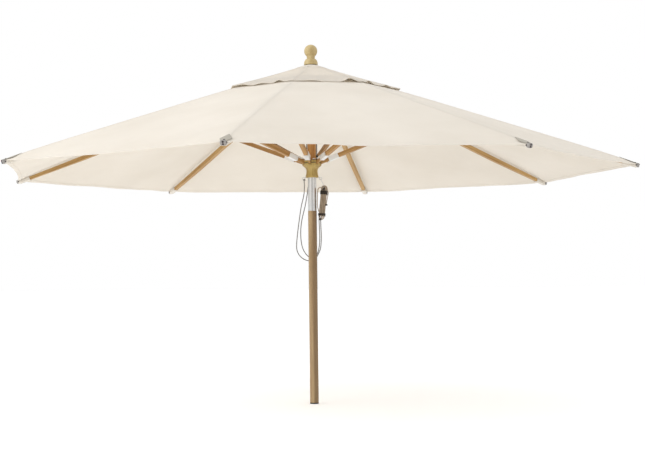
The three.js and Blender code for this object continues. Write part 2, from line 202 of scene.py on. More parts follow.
# ---- Materials ----
def wood(name, light, dark, along=None, rough=0.5, strip=None):
    """Straight-grained wood. along is the piece's own frame, with the grain on its X axis. strip is the
    azimuth, in degrees, of the side that is darkened as painted shade."""
    look = Look(name, Specular_IOR_Level=0.35)
    place = along or Matrix.Rotation(math.radians(-90), 4, "Y")
    local = look.add("Mapping", {"Vector": look.coords.outputs["Object"], "Location": place.translation,
                                 "Rotation": place.to_euler()}, vector_type="TEXTURE")
    figure = look.noise(look.stretched(local, (1.6, 34, 34)), 1.0, 5, 0.55, 0.9)
    lines = look.noise(look.stretched(local, (3.5, 240, 240)), 1.0, 3, 0.6, 0.2)
    pores = look.noise(look.stretched(local, (28, 1500, 1500)), 1.0, 2, 0.5)
    middle = [(a + b) / 2 for a, b in zip(light, dark)]
    tone = look.ramp(figure, [(0.28, dark), (0.5, middle), (0.72, light)])
    tone = look.mix(look.grey(lines, 0.0, 0.5), tone, dark)
    tone = look.mix(look.grey(pores, 0.0, 0.22, 0.55, 0.75), tone, shaded(dark, 0.5))
    # Painted shade: one side of the piece is darkened, as a side turned away from the key light would be.
    if strip is not None:
        upright = Matrix.Rotation(math.radians(-strip), 3, "Z").to_euler()
        turned_to = look.add("Mapping", {"Vector": look.coords.outputs["Object"], "Rotation": upright})
        side = look.add("SeparateXYZ", {"Vector": turned_to})
        tone = look.mix(look.grey(side, 0.0, 0.85, *SHADE_FADE), tone, shaded(dark, 0.7))
    look.set(look.shader, {"Base Color": tone, "Roughness": look.grey(lines, rough - 0.08, rough + 0.1)})
    look.bump((lines, 0.0003, 0.35), (pores, 0.00015, 0.4))
    return look.material


def metal(name, tone, rough, stretch=(40, 40, 3), marked=0.6, painted_reflection=0.0):
    """Drawn metal: fine streaks along the piece, a few soft marks, and broad upright bands of painted
    reflection.
    """
    look = Look(name, Metallic=1.0)
    place = look.coords.outputs["Object"]
    streaks = look.noise(look.stretched(place, [40 * s for s in stretch]), 1.0, 3, 0.6)
    marks = look.noise(place, 60, 5, 0.6)
    # Painted reflection: broad upright darker bands stand in for what the metal mirrors.
    bands = look.noise(look.stretched(place, (110, 110, 0.8)), 1.0, 1, 0.4)
    worn = look.mix(look.grey(marks, 0.0, marked), tone, shaded(tone, 0.72))
    # From here on, worn holds both the soft marks and the painted reflection.
    worn = look.mix(look.grey(bands, 0.0, painted_reflection, 0.42, 0.6), worn, shaded(tone, 0.4))
    look.set(look.shader, {"Base Color": worn, "Roughness": look.grey(streaks, rough - 0.07, rough + 0.12)})
    look.bump((streaks, 0.00008, 0.3))
    return look.material


def fabric(name, tone, shade, through=0.22, across=(), up=()):
    """Plain woven canvas that lets some light through. Its UV map is in metres across the cloth and up from
    its hem, and rows of stitches run at the given distances across and up."""
    look = Look(name, Roughness=0.9, Specular_IOR_Level=0.15, Sheen_Weight=0.15, Sheen_Roughness=0.5)
    flat = look.coords.outputs["UV"]
    threads = {"Vector": flat, "Scale": 300.0, "Distortion": 0.6, "Detail Scale": 2.0}
    warp = look.add("TexWave", threads, 1, bands_direction="X")
    weft = look.add("TexWave", threads, 1, bands_direction="Y")
    weave = look.math("MULTIPLY", warp, weft)
    slubs = look.noise(look.stretched(flat, (14, 420, 1)), 1.0, 3, 0.6)
    clouds = look.noise(look.coords.outputs["Object"], 2.2, 4, 0.55)
    cloth = look.mix(look.grey(clouds, 0.0, 0.8), tone, shade)
    cloth = look.mix(look.grey(slubs, 0.0, 0.25, 0.55, 0.75), cloth, shade)
    heights = [(weave, 0.0003, 0.25), (slubs, 0.0002, 0.3)]
    place = look.add("SeparateXYZ", {"Vector": flat}).node
    for rows, beside, along in ((across, 0, 1), (up, 1, 0)):
        for row in rows:
            stitches = look.stitches(place.outputs[beside], place.outputs[along], row)
            faint = look.math("MULTIPLY", stitches, 0.2)
            cloth = look.mix(faint, cloth, shaded(shade, 0.6))
            heights.append((stitches, 0.0006, 0.5))
    look.set(look.shader, {"Base Color": cloth})
    look.bump(*heights)
    glow = look.add("BsdfTranslucent", {"Color": cloth})
    both = look.add("MixShader", {"Fac": through})
    mixer = both.node
    links = look.material.node_tree.links
    links.new(look.shader.outputs[0], mixer.inputs[1])
    links.new(glow, mixer.inputs[2])
    links.new(both, look.nodes["Material Output"].inputs["Surface"])
    return look.material


def cord_look(name, light, dark):
    """Laid rope: fibres that run round it, darker between the strands."""
    look = Look(name, Roughness=0.85, Specular_IOR_Level=0.2, Sheen_Weight=0.2)
    along = look.coords.outputs["UV"]
    fibres = look.noise(look.stretched(along, (500, 6, 1)), 1.0, 3, 0.6)
    grime = look.noise(look.coords.outputs["Object"], 45, 4, 0.6)
    tone = look.mix(look.grey(fibres, 0.1, 0.8), light, dark)
    look.set(look.shader, {"Base Color": look.mix(look.grey(grime, 0.0, 0.5), tone, dark)})
    look.bump((fibres, 0.0003, 0.5))
    return look.material


def rubber(name, tone):
    look = Look(name, Specular_IOR_Level=0.3)
    grain = look.noise(look.coords.outputs["Object"], 900, 3, 0.6)
    scuffs = look.noise(look.coords.outputs["Object"], 70, 5, 0.6)
    worn = [min(1.0, c * 2.2 + 0.01) for c in tone[:3]] + [1.0]
    look.set(look.shader, {"Base Color": look.mix(look.grey(scuffs, 0.0, 0.5, 0.5, 0.75), tone, worn),
                           "Roughness": look.grey(scuffs, 0.55, 0.8)})
    look.bump((grain, 0.0001, 0.4))
    return look.material


SEAM = BAND - 0.0030  # the rows of stitches on a ridge, from its middle
CREAM = (colour(240, 234, 224), colour(231, 224, 212))
HONEY = (colour(214, 178, 118), colour(150, 110, 58))
STRUT_HONEY = (colour(206, 164, 104), colour(140, 98, 50))
OLIVE = (colour(208, 184, 114), colour(142, 114, 60))
TEAK = (colour(196, 170, 130), colour(144, 116, 82))
# The upper pole's wood: darker and more orange than the lower pole's, as painted shade and painted warm
# bounce light.
AMBER_PAINTED_SHADE = (colour(204, 152, 88), colour(150, 96, 42))
BLOND = (colour(214, 196, 148), colour(172, 148, 98))
STEEL = metal("zinc_plated_steel", colour(205, 207, 210), 0.36)
CAP_STEEL = metal("dull_steel", colour(164, 160, 156), 0.5)
SLEEVE_STEEL = metal("galvanised_steel", colour(238, 238, 236), 0.52, marked=0.25)
ENAMEL = metal("white_enamel", colour(246, 246, 244), 0.6, marked=0.1)
# The aluminium's broad darker upright bands are painted reflection.
ALUMINIUM = metal("drawn_aluminium", colour(244, 245, 246), 0.3, (60, 60, 1), painted_reflection=0.75)
GUNMETAL = metal("gunmetal", colour(78, 70, 70), 0.45)
CANVAS = fabric("ecru_canvas", *CREAM, up=(HEM - 0.002, 0.003))
VENT_CANVAS = fabric("vent_canvas", *CREAM, through=0.36, up=(HEM - 0.002, 0.003))
VENT_RIDGE = fabric("vent_ridge_canvas", *CREAM, through=0.36, across=(BAND - SEAM, BAND + SEAM))
RIDGE_CANVAS = fabric("ridge_canvas", *CREAM, across=(BAND - SEAM, BAND + SEAM))
# The corner patch is the canopy's cloth, greyed as painted shade.
PATCH_SHADE_CLOTH = fabric("corner_cloth_painted_shade", colour(186, 180, 168), colour(158, 152, 138), 0.05, up=(0.004, 0.125))
POCKET_CLOTH = fabric("pocket_cloth", colour(236, 230, 220), colour(218, 211, 199), 0.1)
GREY_ROPE = cord_look("grey_rope", colour(150, 146, 140), colour(84, 80, 76))
TAUPE_ROPE = cord_look("taupe_rope", colour(206, 188, 166), colour(140, 121, 101))
DARK_ROPE = cord_look("dark_rope", colour(74, 64, 54), colour(30, 26, 22))
RUBBER = rubber("black_rubber", colour(44, 42, 40))


# ---- Pieces ----
def piece(name, points, faces, look, body, slot, sharp=40, uv=None):
    """A smooth mesh with edges sharper than sharp degrees left crisp. uv gives a pair for each point."""
    mesh = bpy.data.meshes.new(name)
    mesh.from_pydata([tuple(float(c) for c in p) for p in points], [], [tuple(map(int, f)) for f in faces])
    mesh.polygons.foreach_set("use_smooth", [True] * len(mesh.polygons))
    mesh.set_sharp_from_angle(angle=math.radians(sharp))
    if uv is not None:
        flat = np.asarray(uv, float)
        corners = np.zeros(len(mesh.loops), int)
        mesh.loops.foreach_get("vertex_index", corners)
        mesh.uv_layers.new(name="UVMap").data.foreach_set("uv", flat[corners].ravel())
    mesh.materials.append(look)
    made = bpy.data.objects.new(name, mesh)
    bpy.context.collection.objects.link(made)
    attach(made, body)
    return made


def placed(matrix, points):
    m = np.array(matrix)
    return np.asarray(points, float) @ m[:3, :3].T + m[:3, 3]


def merged(*parts):
    """Several (points, faces) as one."""
    points, faces, start = [], [], 0
    for some_points, some_faces in parts:
        points.append(np.asarray(some_points, float))
        faces += [[index + start for index in face] for face in some_faces]
        start += len(some_points)
    return np.concatenate(points), faces


def turned(outline, segments=48):
    """(points, faces) of a body turned about Z from [radius, z] pairs that start and end on the axis."""
    inner = outline[1:-1]
    points = [(0, 0, outline[0][1]), (0, 0, outline[-1][1])]
    for radius, z in inner:
        for step in range(segments):
            a = math.tau * step / segments
            points.append((radius * math.cos(a), radius * math.sin(a), z))
    faces = []
    last = len(inner) - 1

    def at(row, step):
        return 2 + row * segments + step % segments

    for step in range(segments):
        faces.append((0, at(0, step + 1), at(0, step)))
        faces.append((1, at(last, step), at(last, step + 1)))
        for row in range(last):
            faces.append((at(row, step), at(row, step + 1), at(row + 1, step + 1), at(row + 1, step)))
    return np.array(points), faces


def loft(sections):
    """(points, faces) of a closed body through rings of the same number of points, capped at both ends."""
    count = len(sections[0])
    points = np.concatenate([np.asarray(s, float) for s in sections])
    faces = [list(range(count))[::-1], list(range(len(points) - count, len(points)))]
    for row in range(len(sections) - 1):
        for step in range(count):
            a, b = row * count + step, row * count + (step + 1) % count
            faces.append((a, b, b + count, a + count))
    return points, faces


def smooth_line(points, spacing):
    """Points about spacing apart on a centripetal Catmull-Rom line, as the CAD's ropes follow."""
    p = np.array(points, float)
    p = np.vstack([2 * p[0] - p[1], p, 2 * p[-1] - p[-2]])
    line = []
    for i in range(1, len(p) - 2):
        gaps = np.linalg.norm(np.diff(p[i - 1:i + 3], axis=0), axis=1)
        knots = np.concatenate([[0], np.cumsum(np.sqrt(gaps))])
        steps = max(2, math.ceil(np.linalg.norm(p[i + 1] - p[i]) / spacing))
        for t in np.linspace(knots[1], knots[2], steps, endpoint=False):
            rows = list(p[i - 1:i + 3])
            for reach in (1, 2):
                rows = [((knots[j + reach] - t) * rows[j] + (t - knots[j]) * rows[j + 1])
                        / (knots[j + reach] - knots[j]) for j in range(len(rows) - 1)]
            share = (t - knots[1]) / (knots[2] - knots[1])
            line.append(rows[0] * (1 - share) + rows[1] * share)
    line.append(p[-2])
    return np.array(line)


def rope_mesh(line, radius, sides=12, lay=0.022):
    """(points, faces, uv) of a rope of three twisted strands along a line. lay is the length of one twist."""
    tangents = np.gradient(line, axis=0)
    tangents /= np.linalg.norm(tangents, axis=1)[:, None]
    start = Vector(tangents[0]).orthogonal().normalized()
    along = np.concatenate([[0], np.cumsum(np.linalg.norm(np.diff(line, axis=0), axis=1))])
    sections, uv = [], []
    across = np.array(start)
    for centre, tangent, far in zip(line, tangents, along):
        across = across - tangent * (across @ tangent)
        across /= np.linalg.norm(across)
        other = np.cross(tangent, across)
        for step in range(sides):
            a = math.tau * step / sides
            reach = radius * (0.9 + 0.1 * abs(math.cos(1.5 * (a - math.tau * far / lay))))
            sections.append(centre + reach * (math.cos(a) * across + math.sin(a) * other))
            uv.append((far, step / sides))
    points, faces = loft(np.array(sections).reshape(len(line), sides, 3))
    return points, faces, uv


def rope(name, line, look, body, **facts):
    """A cord along a line in the row frame."""
    points, faces, uv = rope_mesh(line, ROPE_RADIUS)
    made = piece(name, points, faces, look, body, "rope", uv=uv)
    return made


def knot(name, centre, size, look, body):
    """An overhand knot, drawn tight: a trefoil of rope."""
    t = np.linspace(0, math.tau, 90)
    loop = np.stack([np.sin(t) + 2 * np.sin(2 * t), np.cos(t) - 2 * np.cos(2 * t), -1.3 * np.sin(3 * t)], 1)
    line = np.array(centre) + loop * size / 6
    points, faces, uv = rope_mesh(line, size * 0.17, 10)
    return piece(name, points, faces, look, body, "rope", uv=uv)


# ---- Cords ----
# Routes are in the hoist's own frame: x towards the hank's side, y away from the front, z up, in millimetres.
OUTER_LOOP = [
    (-44, 0, 1228), (-43, 2, 1195), (-45, 4, 1158), (-52, 6, 1124), (-60, 8, 1092), (-67, 10, 1052),
    (-73, 12, 1012), (-79, 14, 970), (-84, 15, 931), (-88, 16, 893), (-89.5, 18, 862), (-87, 20, 842),
    (-80, 23, 824), (-66, 27, 806), (-48, 31, 793), (-24, 36, 785), (0, 38, 787), (18, 36, 801),
    (32, 29, 825), (43, 20, 855), (47, 13, 895), (47.5, 9, 935), (46, 6, 972), (45, 4, 1014),
]
INNER_LOOP = [
    (-20, 22, 1242), (-21, 21, 1215), (-24, 18, 1185), (-27, 15, 1160), (-33, 13, 1125), (-39, 12, 1092),
    (-47, 12, 1060), (-54, 13, 1032), (-60, 14, 1004), (-64, 15, 975), (-66, 16, 942), (-65, 17, 905),
    (-61, 19, 875), (-54, 22, 850), (-41, 26, 826), (-24, 29, 808), (-6, 31, 801), (9, 30, 805),
    (22, 26, 818), (31, 20, 840), (37, 12, 875), (39, 4, 915), (38, -2, 960), (36, -4, 1012),
]
SHEAVE = {"z": 1.778, "rope": 0.0275}
# name: (place in the hoist's frame in millimetres, size, look, body)
KNOTS = {
    "lift_knot": ((27.5, 0, 1362), 0.013, DARK_ROPE, "pole"),
    "left_knot": ((-44, 0, 1232), 0.012, GREY_ROPE, "runner"),
    # The hank's knot is dark rope, darker than the taupe hank partly as painted shade in its folds.
    "hank_knot": ((66, -5, 1180), 0.021, DARK_ROPE, "runner"),
    "hank_tail": ((76.5, -8, 1092), 0.012, DARK_ROPE, "runner"),
    # The grey loops' knot is dark rope, as painted shade between the loops.
    "loop_knot": ((42, 0, 1013), 0.014, DARK_ROPE, "runner"),
}


def hoist_line(route, spacing=0.0022):
    return placed(HOIST, smooth_line(np.array(route) / 1000, spacing))


def lift_route():
    low = RUNNER.z + 0.015
    heights = np.linspace(low, SHEAVE["z"], 5)[:-1]
    reach = SHEAVE["rope"]
    angles = np.linspace(0, math.pi, 13)
    up = [(reach, 0, z) for z in heights]
    over = [(reach * math.cos(a), 0, SHEAVE["z"] + reach * math.sin(a)) for a in angles]
    down = [(-reach, 0, z) for z in heights[::-1]]
    return np.array(up + over + down) * 1000


# The skein goes from the turn "from" to the turn "to". "fold" is the radius of its folds. "first" is half the
# length of a straight run at turn 0, and "grow" is what it gains with each turn.
HANK = {"fold": 0.015, "first": 0.0478, "grow": 0.0052, "from": 0.75, "to": 6.25, "steps": 48}
# The hank's frame in the hoist's: its middle, and how it leans.
HANK_FRAME = Matrix.Translation((0.0585, 0, 1.104)) @ Matrix.Rotation(math.radians(6), 4, "Y")
HANK_STRAND = [  # in the hoist's frame, in millimetres
    (61.6, -7, 1178.3), (55.9, -8, 1185.7), (47, -9, 1188.5), (38.1, -10, 1185.7), (32.4, -10.6, 1178.3),
    (30.4, -10.6, 1167), (29, -10.2, 1148), (28.2, -9.8, 1124), (28, -9.3, 1102), (28.8, -8.3, 1084),
    (31.5, -6.4, 1070), (35, -4.1, 1058.5), (38.7, -1.9, 1048.8), (41.8, -0.7, 1043.1), (46, 0, 1039.6),
]
HANK_TAIL = [  # in the hank's frame, in millimetres
    (10.6, 0, 90.9), (15.3, -0.3, 82), (19.2, -1.6, 72), (22.8, -3.2, 62), (24, -4, 52),
    (23.4, -4.5, 42), (22, -5, 30), (20.8, -5.5, 18), (20, -6.5, 6), (19, -7.5, -8),
]
HANK_TIES = {"hank_tie": (0.056, 5), "hank_end_tie": (-0.066, 3)}  # height of the middle, turns
TWINE = {"radius": 0.0022, "rise": 0.0042, "coil": HANK["fold"] + 0.0040, "steps": 24}


def skein_point(turn):
    """A point of the hank's skein after so many turns. Each turn is an upright oval with round ends, longer
    than the last and swung on about the upright axis, so that the runs stand in a ring."""
    lap = math.floor(2 * turn + 0.5) / 2  # the nearest run of the rope
    bend = 2 * (turn - lap)  # -0.5 to 0.5 from the lowest or highest point before it to the next
    share = 2 * abs(bend)
    length = HANK["first"] + HANK["grow"] * turn
    arc = HANK["fold"] * math.pi / 2
    far = share * (length + arc)  # along the run, and then round the fold
    angle = max(0.0, far - length) / HANK["fold"]
    side = -1 if round(2 * lap) % 2 else 1
    rise = side * math.copysign(min(far, length) + HANK["fold"] * math.sin(angle), bend)
    swing = math.pi * (turn - HANK["from"]) / (HANK["to"] - HANK["from"])
    reach = side * HANK["fold"] * math.cos(angle)
    return reach * math.cos(swing), reach * math.sin(swing), rise


def hank_route():
    """The rope leaves the knot at the skein's top, goes down beside the pole and into the skein's foot, fills
    it, and comes down outside it to its knotted end."""
    steps = HANK["steps"]
    turns = HANK["to"] - HANK["from"]
    skein = [skein_point(HANK["from"] + step / steps) for step in range(round(turns * steps) + 1)]
    hank = placed(HANK_FRAME, np.concatenate([skein, np.array(HANK_TAIL) / 1000]))
    return np.concatenate([np.array(HANK_STRAND) / 1000, hank]) * 1000


def add_hank_ties():
    """Dark twine wound round the skein."""
    steps, coil = TWINE["steps"], TWINE["coil"]
    for name, (middle, turns) in HANK_TIES.items():
        points = []
        for step in range(turns * steps + 1):
            a = math.tau * step / steps
            z = middle + TWINE["rise"] * (step / steps - turns / 2)
            points.append((coil * math.cos(a), coil * math.sin(a), z))
        points, faces, uv = rope_mesh(placed(HOIST @ HANK_FRAME, points), TWINE["radius"], 10)
        piece(name, points, faces, DARK_ROPE, "runner", "rope", uv=uv)


def add_cords():
    lift = hoist_line(lift_route())
    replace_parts(rope("lift_rope_laid", lift, DARK_ROPE, "pole", far_end="object", lay="taut"), "lift_rope")
    for name, route, node in (("outer_rope", OUTER_LOOP, "rope_loop_outer"),
                              ("inner_rope", INNER_LOOP, "rope_loop_inner")):
        made = rope(name, hoist_line(route), GREY_ROPE, "runner", far_end="object", lay="hanging")
        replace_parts(made, node)
        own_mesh(made)
    skein = hoist_line(hank_route(), 0.003)
    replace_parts(rope("hank_rope", skein, TAUPE_ROPE, "runner", far_end="knot", lay="coiled"), "rope_hank")
    add_hank_ties()
    for name, (spot, size, look, body) in KNOTS.items():
        knot(name, placed(HOIST, [np.array(spot) / 1000])[0], size, look, body)


add_cords()


# ---- Cloth ----
def ridge_z(radius):
    return RIM_Z + (RIM - radius) * SLOPE


def vent_z(radius):
    """The vent cap's ridges droop a little between the crown and the edge."""
    share = np.maximum(0, radius - VENT["flat"]) / (VENT["outer"] - VENT["flat"])
    return VENT["top"] - share * (VENT["top"] - VENT["edge"]) - VENT["dip"] * np.sin(math.pi * share)


def arch(radius):
    """How far the taut cloth bows up from the straight line of a rib."""
    share = (radius - CANOPY["inner"]) / (CANOPY["outer"] - CANOPY["inner"])
    return CANOPY["arch"] * (1 - np.abs(2 * share - 1) ** 6)


def canopy_z(radius):
    return ridge_z(radius) + arch(radius)


def soft_noise(x, y, scale, seed):
    flat = [noise.noise(Vector((a * scale, b * scale, seed))) for a, b in zip(x.ravel(), y.ravel())]
    return np.array(flat).reshape(x.shape)


def tent(radius, along, panel, height, share, shape, ripple):
    """Points of a panel. panel is the rib that it starts at, and along runs from 0 there to 1 at the next.
    height is that of the ribs' ridges, and share runs from 0 at the cloth's inner edge to 1 at its outer."""
    first = (panel - 1) * STEP
    second = first + STEP
    middle = first + STEP / 2
    bow = 4 * along * (1 - along)
    inward = shape.get("scallop", 0) * share * bow
    x = radius * ((1 - along) * math.cos(first) + along * math.cos(second)) - inward * math.cos(middle)
    y = radius * ((1 - along) * math.sin(first) + along * math.sin(second)) - inward * math.sin(middle)
    off = radius * np.minimum(along, 1 - along) * math.sin(STEP)
    round_ridge = FALL * (off - np.sqrt(off ** 2 + BAND ** 2 / 4) + BAND / 2)
    z = height + inward * SLOPE / MIDDLE - shape["sag"] * share ** 2 * bow + round_ridge
    return np.stack([x, y, z + ripple(panel, x, y, radius, along, off)], -1)


SLACK = {"free": 0.12, "waves": ((0.005, 1.7, 3.1), (0.0022, 5.0, 8.4))}  # (height, scale, seed) of each
HEM_WAVE = {"height": 0.003, "depth": 0.14, "scale": 7.0, "seed": 1.9}
FAN = {"height": 0.0016, "reach": 0.3, "folds": 8, "free": 0.03}


def canopy_ripple(_panel, x, y, radius, _along, off):
    """Slack in the cloth, a soft wave at the hem, and folds that fan out from each corner."""
    free = np.clip((off - BAND) / SLACK["free"], 0, 1) ** 2
    slack = sum(height * soft_noise(x, y, scale, seed) for height, scale, seed in SLACK["waves"])
    fade = np.exp(-(RIM - radius) / HEM_WAVE["depth"])
    hem = HEM_WAVE["height"] * fade * soft_noise(x, y, HEM_WAVE["scale"], HEM_WAVE["seed"])
    corner = np.hypot(off, RIM - radius)
    rays = np.sin(FAN["folds"] * np.arctan2(off, RIM - radius + 0.02))
    fan = FAN["height"] * np.exp(-corner / FAN["reach"]) * rays
    return (slack + hem) * free + fan * np.clip((off - BAND) / FAN["free"], 0, 1)


# Where the vent cap's edge stands open: for each panel, (place along the edge, height, half width).
LIFTS = {
    1: [(0.42, 0.008, 0.12)],
    2: [(0.30, 0.006, 0.10), (0.71, 0.011, 0.09)],
    3: [(0.60, 0.009, 0.13)],
    4: [(0.35, 0.010, 0.10)],
    5: [(0.55, 0.007, 0.15)],
    6: [(0.18, 0.006, 0.10), (0.50, 0.005, 0.10), (0.80, 0.012, 0.07)],
    7: [(0.30, 0.004, 0.10), (0.82, 0.018, 0.08)],
    8: [(0.16, 0.012, 0.08), (0.62, 0.012, 0.09)],
}
LIFT_DEPTH = 0.07
# How far the cap's corners on these ribs hang down.
LOW_CORNERS = {1: 0.004, 3: 0.008, 5: 0.007, 6: 0.003, 7: 0.012, 8: 0.010}
LOW_DEPTH = 0.16
VENT_SLACK = {"free": 0.02, "height": 0.0025, "depth": 0.15, "scale": 14.0, "seed": 2.7}


def vent_ripple(panel, x, y, radius, along, off):
    """The vent cap's edge lifts in soft arches between the ribs, and some of its corners hang lower."""
    back = VENT["outer"] - radius
    open_edge = sum(height * np.exp(-((along - place) / width) ** 2)
                    for place, height, width in LIFTS[(panel - 1) % RIBS + 1])
    low = (LOW_CORNERS.get((panel - 1) % RIBS + 1, 0) * np.clip(1 - 2 * along, 0, 1) ** 2
           + LOW_CORNERS.get(panel % RIBS + 1, 0) * np.clip(2 * along - 1, 0, 1) ** 2)
    free = np.clip((off - BAND) / VENT_SLACK["free"], 0, 1)
    waves = VENT_SLACK["height"] * soft_noise(x, y, VENT_SLACK["scale"], VENT_SLACK["seed"])
    slack = waves * np.exp(-back / VENT_SLACK["depth"])
    return free * (open_edge * np.exp(-(back / LIFT_DEPTH) ** 2) + slack) - low * np.exp(-back / LOW_DEPTH)


def grid_normals(grid):
    down, across = np.gradient(grid, axis=0), np.gradient(grid, axis=1)
    normals = np.cross(down, across)
    normals /= np.linalg.norm(normals, axis=-1)[..., None]
    return normals * np.where(normals[..., 2:] < 0, -1, 1)


def shell(grid, thickness, above=0.0):
    """(points, faces) of a closed sheet whose upper face is above over the grid, thickness deep."""
    rows, columns = grid.shape[:2]
    normals = grid_normals(grid)
    depth = np.broadcast_to(np.asarray(thickness, float), (rows, columns))[..., None]
    upper = grid + normals * above
    points = np.concatenate([upper.reshape(-1, 3), (upper - normals * depth).reshape(-1, 3)])
    layer = rows * columns
    a, b, c = grid[0, 0], grid[1, 0], grid[0, 1]
    flip = np.cross(b - a, c - a)[2] < 0
    faces = []

    def quad(*corners):
        faces.append(corners[::-1] if flip else corners)

    for i in range(rows - 1):
        for j in range(columns - 1):
            k = i * columns + j
            quad(k, k + columns, k + columns + 1, k + 1)
            quad(k + layer, k + layer + 1, k + layer + columns + 1, k + layer + columns)
    for i in range(rows - 1):
        k = i * columns
        quad(k, k + layer, k + layer + columns, k + columns)
        k += columns - 1
        quad(k, k + columns, k + layer + columns, k + layer)
    for j in range(columns - 1):
        quad(j, j + 1, j + 1 + layer, j + layer)
        k = (rows - 1) * columns + j
        quad(k, k + layer, k + layer + 1, k + 1)
    return points, faces


def cloth_uv(grid):
    """Metres across the cloth, and up from its hem, for both faces."""
    down = np.cumsum(np.linalg.norm(np.diff(grid, axis=0, prepend=grid[:1]), axis=-1), axis=0)
    down = down[-1:] - down
    across = np.cumsum(np.linalg.norm(np.diff(grid, axis=1, prepend=grid[:, :1]), axis=-1), axis=1)
    flat = np.stack([across, down], -1).reshape(-1, 2)
    return np.concatenate([flat, flat])


def spans(*stretches):
    """Values from stretches of (start, end, steps), each joined to the next."""
    values = [np.linspace(start, end, steps, endpoint=False) for start, end, steps in stretches]
    return np.concatenate([*values, [stretches[-1][1]]])


def half_panel(n, side, radii, height, shape, ripple):
    """The cloth from rib n's binding to the middle of the panel on one side of it."""
    panel = n if side > 0 else n - 1
    spots = spans((0, 0.1, 5), (0.1, 0.985, 20), (0.985, 1, 2))
    radius = radii[:, None] + 0 * spots
    start = (BAND - LAP) / (radius * math.sin(STEP))
    along = start + (0.5 - start) * spots
    if side < 0:
        along = 1 - along
    share = (radius - shape["inner"]) / (shape["outer"] - shape["inner"])
    return tent(radius, along, panel, height(radius), share, shape, ripple)


def ridge_band(n, radii, height, shape, ripple):
    """The strip of cloth on rib n's ridge."""
    offs = np.linspace(-BAND, BAND, 9)
    radius = radii[:, None] + 0 * offs
    share = (radius - shape["inner"]) / (shape["outer"] - shape["inner"])
    halves = []
    for side in (-1, 1):
        off = np.abs(offs[offs * side >= 0])
        r = radius[:, :len(off)]
        along = off / (r * math.sin(STEP))
        panel, spot = (n, along) if side > 0 else (n - 1, 1 - along)
        halves.append(tent(r, spot, panel, height(r), share[:, :len(off)], shape, ripple))
    return np.concatenate([halves[0], halves[1][:, 1:]], axis=1)


def add_cloth(n, part, node, shape, radii, height, ripple):
    """One rib's share of the canopy or of the vent cap: a ridge binding and half a panel on each side."""
    edge = shape["outer"] - radii
    depth = np.where(edge < HEM, HEM_CLOTH, CLOTH)[:, None]
    body = f"rib_{n}"
    band = ridge_band(n, radii, height, shape, ripple)
    tunnel = BAND_CLOTH + (arch(radii)[:, None] if part == "canopy" else 0)  # down to the rib
    strip = shell(band, tunnel + 0 * band[..., 0], BAND_RISE)
    ridge_look, panel_look = (RIDGE_CANVAS, CANVAS) if part == "canopy" else (VENT_RIDGE, VENT_CANVAS)
    binding = piece(f"{part}_binding_{n}", *strip, ridge_look, body, "canvas", uv=cloth_uv(band))
    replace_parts(binding, node)
    for side, word in ((1, "left"), (-1, "right")):
        grid = half_panel(n, side, radii, height, shape, ripple)
        made = piece(f"{part}_{word}_{n}", *shell(grid, depth), panel_look, body, "canvas", uv=cloth_uv(grid))
        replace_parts(made, node)
        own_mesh(made)


CANOPY_ROWS = spans((CANOPY["inner"], 0.5, 4), (0.5, 1.55, 20), (1.55, RIM - HEM, 8),
                    (RIM - HEM, RIM - HEM + 0.001, 1), (RIM - HEM + 0.001, RIM, 3))
VENT_ROWS = spans((VENT["inner"], 0.3, 6), (0.3, VENT["outer"] - HEM, 12),
                  (VENT["outer"] - HEM, VENT["outer"], 4))
for number in range(1, RIBS + 1):
    add_cloth(number, "canopy", f"canopy_gore_{number}", CANOPY, CANOPY_ROWS, canopy_z, canopy_ripple)
    add_cloth(number, "vent", f"vent_cap_{number}", VENT, VENT_ROWS, vent_z, vent_ripple)


# (radius, height over the vent cap) round the crown patch, whose edge is turned under.
CROWN_OUTLINE = [
    (CROWN["inner"], 0.0011), (VENT["flat"], 0.0011), (0.06, 0.0011), (0.084, 0.0013), (0.089, 0.0018),
    (CROWN["outer"], 0.0012), (CROWN["outer"], 0.0), (0.06, 0.0), (VENT["flat"], 0.0), (CROWN["inner"], 0.0),
]


def add_crown():
    """The round patch under the finial."""
    segments = 64
    points = []
    for radius, above in CROWN_OUTLINE:
        for step in range(segments):
            a = math.tau * step / segments
            part = (a % STEP) / STEP
            flat = MIDDLE / math.cos(abs(part - 0.5) * STEP)
            drop = vent_z(np.array(radius / flat if radius > VENT["flat"] else radius))
            points.append((radius * math.cos(a), radius * math.sin(a), float(drop) + CROWN["above"] + above))
    faces = []
    rings = len(CROWN_OUTLINE)
    for row in range(rings):
        for step in range(segments):
            a, b = row * segments + step, row * segments + (step + 1) % segments
            c = ((row + 1) % rings) * segments
            faces.append((a, c + step, c + (step + 1) % segments, b))
    uv = [(p[0], p[1]) for p in points]
    patch = piece("crown_cloth", points, faces, CANVAS, "pole", "canvas", uv=uv)
    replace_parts(patch, "crown_patch")


add_crown()


# ---- Corners ----
def rib_frame(n):
    turn = Matrix.Rotation((n - 1) * STEP, 4, "Z")
    return turn @ Matrix.Translation(HUB) @ Matrix.Rotation(PITCH, 4, "Y")


def strut_frame(n):
    turn = Matrix.Rotation((n - 1) * STEP, 4, "Z")
    return turn @ Matrix.Translation(RUNNER) @ Matrix.Rotation(-STRUT_PITCH, 4, "Y")


def rib_low(back):
    """Height of a rib's lower face over its centre line, back from the canopy's corner."""
    share = min(1.0, max(0.0, (RIB["taper"] + RIB["short"] - back) / RIB["taper"]))
    return (RIB["depth"] - RIB["tip"]) * share - RIB["depth"] / 2


def ridge_top(off):
    """Height of the cloth over a rib's centre line, off to the side of its ridge."""
    return COVER - FALL * (np.sqrt(off ** 2 + BAND ** 2 / 4) - BAND / 2)


def cloth_rise(back):
    """How far the ridge stands above the straight one, back from the canopy's corner."""
    return arch(RIM - back * math.cos(PITCH)) * math.cos(PITCH)


